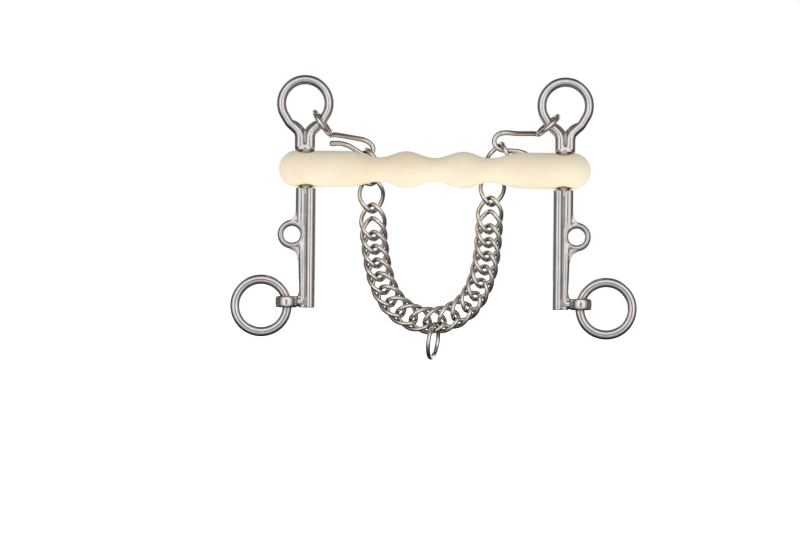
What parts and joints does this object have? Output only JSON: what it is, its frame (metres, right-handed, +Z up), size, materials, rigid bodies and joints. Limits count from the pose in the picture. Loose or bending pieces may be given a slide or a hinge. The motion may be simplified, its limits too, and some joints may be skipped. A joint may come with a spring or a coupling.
{
  "type": "curb bit",
  "caption": "Loose-cheek curb bit with a waisted plastic mouthpiece, ringed steel cheeks, loose rein rings, curb hooks and a double-link curb chain with a lip-strap link.",
  "frame": {"origin": "middle of the mouthpiece, on its long axis", "axes": "+X along the mouthpiece towards the right cheek, +Y backwards to the curb chain, +Z up to the upper rings"},
  "size_m": [0.24, 0.0367, 0.1678],
  "materials": {
    "mouth_plastic": "satin",
    "polished_steel": "polished",
    "chain_steel": "polished",
    "inner_steel": "turned",
    "bush_brass": "turned"
  },
  "bodies": {
    "mouthpiece": {"mouth_cover": "mouth_plastic", "mouth_core": "inner_steel", "left_bush": "bush_brass", "right_bush": "bush_brass"},
    "left_cheek": {"left_upper_cheek": "polished_steel", "left_stem": "inner_steel", "left_shank": "polished_steel"},
    "left_rein_ring": {"left_rein_ring": "polished_steel"},
    "left_hook": {"left_curb_hook": "chain_steel"},
    "left_link_1": {"left_link_1": "chain_steel"},
    "left_link_2": {"left_link_2": "chain_steel"},
    "left_link_3": {"left_link_3": "chain_steel"},
    "right_cheek": {"right_upper_cheek": "polished_steel", "right_stem": "inner_steel", "right_shank": "polished_steel"},
    "right_rein_ring": {"right_rein_ring": "polished_steel"},
    "right_hook": {"right_curb_hook": "chain_steel"},
    "right_link_1": {"right_link_1": "chain_steel"},
    "right_link_2": {"right_link_2": "chain_steel"},
    "right_link_3": {"right_link_3": "chain_steel"},
    "chain_unit_1": {"chain_unit_1a": "chain_steel", "chain_unit_1b": "chain_steel"},
    "chain_unit_2": {"chain_unit_2a": "chain_steel", "chain_unit_2b": "chain_steel"},
    "chain_unit_3": {"chain_unit_3a": "chain_steel", "chain_unit_3b": "chain_steel"},
    "chain_unit_4": {"chain_unit_4a": "chain_steel", "chain_unit_4b": "chain_steel"},
    "chain_unit_5": {"chain_unit_5a": "chain_steel", "chain_unit_5b": "chain_steel"},
    "chain_unit_6": {"chain_unit_6a": "chain_steel", "chain_unit_6b": "chain_steel"},
    "chain_unit_7": {"chain_unit_7a": "chain_steel", "chain_unit_7b": "chain_steel"},
    "chain_unit_8": {"chain_unit_8a": "chain_steel", "chain_unit_8b": "chain_steel"},
    "chain_unit_9": {"chain_unit_9a": "chain_steel", "chain_unit_9b": "chain_steel"},
    "lip_strap_link": {"lip_strap_link": "chain_steel"}
  },
  "joints": [
    {"name": "left_cheek_swivel", "type": "hinge", "parent": "mouthpiece", "child": "left_cheek", "pos_m": [-0.076, 0, 0], "axis": [0, 0, 1], "range_deg": [-11, 11]},
    {"name": "right_cheek_swivel", "type": "hinge", "parent": "mouthpiece", "child": "right_cheek", "pos_m": [0.076, 0, 0], "axis": [0, 0, 1], "range_deg": [-11, 11]},
    {"name": "left_rein_ring_swing", "type": "hinge", "parent": "left_cheek", "child": "left_rein_ring", "pos_m": [-0.0866, 0, -0.0786], "axis": [0, 0, 1], "range_deg": [-90, 90]},
    {"name": "right_rein_ring_swing", "type": "hinge", "parent": "right_cheek", "child": "right_rein_ring", "pos_m": [0.0866, 0, -0.0786], "axis": [0, 0, 1], "range_deg": [-90, 90]},
    {"name": "left_hook_swing", "type": "hinge", "parent": "mouthpiece", "child": "left_hook", "pos_m": [0, 0, 0.0284], "axis": [1, 0, 0], "range_deg": [0, 40]},
    {"name": "left_link_1_fold", "type": "hinge", "parent": "left_hook", "child": "left_link_1", "pos_m": [0, 0.0136, 0.01126], "axis": [1, 0, 0], "range_deg": [-3, 10]},
    {"name": "left_link_2_fold", "type": "hinge", "parent": "left_link_1", "child": "left_link_2", "pos_m": [0, 0.0136, -0.00411], "axis": [1, 0, 0], "range_deg": [-10, 10]},
    {"name": "left_link_3_fold", "type": "hinge", "parent": "left_link_2", "child": "left_link_3", "pos_m": [0, 0.0136, -0.02036], "axis": [1, 0, 0], "range_deg": [-10, 10]},
    {"name": "chain_unit_1_fold", "type": "hinge", "parent": "left_link_3", "child": "chain_unit_1", "pos_m": [0, 0.0136, -0.0326], "axis": [1, 0, 0], "range_deg": [-7, 7]},
    {"name": "chain_unit_2_fold", "type": "hinge", "parent": "chain_unit_1", "child": "chain_unit_2", "pos_m": [0, 0.0136, -0.04884], "axis": [1, 0, 0], "range_deg": [-6, 6]},
    {"name": "chain_unit_3_fold", "type": "hinge", "parent": "chain_unit_2", "child": "chain_unit_3", "pos_m": [0, 0.0136, -0.06476], "axis": [1, 0, 0], "range_deg": [-6, 6]},
    {"name": "chain_unit_4_fold", "type": "hinge", "parent": "chain_unit_3", "child": "chain_unit_4", "pos_m": [0, 0.0136, -0.07893], "axis": [1, 0, 0], "range_deg": [-5, 5]},
    {"name": "right_hook_swing", "type": "hinge", "parent": "mouthpiece", "child": "right_hook", "pos_m": [0, 0, 0.0284], "axis": [1, 0, 0], "range_deg": [0, 40]},
    {"name": "right_link_1_fold", "type": "hinge", "parent": "right_hook", "child": "right_link_1", "pos_m": [0, 0.0136, 0.01126], "axis": [1, 0, 0], "range_deg": [-3, 10]},
    {"name": "right_link_2_fold", "type": "hinge", "parent": "right_link_1", "child": "right_link_2", "pos_m": [0, 0.0136, -0.00411], "axis": [1, 0, 0], "range_deg": [-10, 10]},
    {"name": "right_link_3_fold", "type": "hinge", "parent": "right_link_2", "child": "right_link_3", "pos_m": [0, 0.0136, -0.02036], "axis": [1, 0, 0], "range_deg": [-10, 10]},
    {"name": "chain_unit_9_fold", "type": "hinge", "parent": "right_link_3", "child": "chain_unit_9", "pos_m": [0, 0.0136, -0.0326], "axis": [1, 0, 0], "range_deg": [-7, 7]},
    {"name": "chain_unit_8_fold", "type": "hinge", "parent": "chain_unit_9", "child": "chain_unit_8", "pos_m": [0, 0.0136, -0.04884], "axis": [1, 0, 0], "range_deg": [-6, 6]},
    {"name": "chain_unit_7_fold", "type": "hinge", "parent": "chain_unit_8", "child": "chain_unit_7", "pos_m": [0, 0.0136, -0.06476], "axis": [1, 0, 0], "range_deg": [-6, 6]},
    {"name": "chain_unit_6_fold", "type": "hinge", "parent": "chain_unit_7", "child": "chain_unit_6", "pos_m": [0, 0.0136, -0.07893], "axis": [1, 0, 0], "range_deg": [-5, 5]},
    {"name": "chain_unit_5_roll", "type": "hinge", "parent": "chain_unit_4", "child": "chain_unit_5", "pos_m": [0, 0.0136, -0.08755], "axis": [1, 0, 0], "range_deg": [-4, 4]},
    {"name": "lip_strap_link_swing", "type": "hinge", "parent": "chain_unit_5", "child": "lip_strap_link", "pos_m": [0, 0.0143, -0.0912], "axis": [1, 0, 0], "range_deg": [-12, 2]}
  ],
  "couplings": [
    {"joint": "right_hook_swing", "follows": "left_hook_swing", "ratio": 1},
    {"joint": "right_link_1_fold", "follows": "left_link_1_fold", "ratio": 1},
    {"joint": "right_link_2_fold", "follows": "left_link_2_fold", "ratio": 1},
    {"joint": "right_link_3_fold", "follows": "left_link_3_fold", "ratio": 1},
    {"joint": "chain_unit_9_fold", "follows": "chain_unit_1_fold", "ratio": 1},
    {"joint": "chain_unit_8_fold", "follows": "chain_unit_2_fold", "ratio": 1},
    {"joint": "chain_unit_7_fold", "follows": "chain_unit_3_fold", "ratio": 1},
    {"joint": "chain_unit_6_fold", "follows": "chain_unit_4_fold", "ratio": 1}
  ]
}
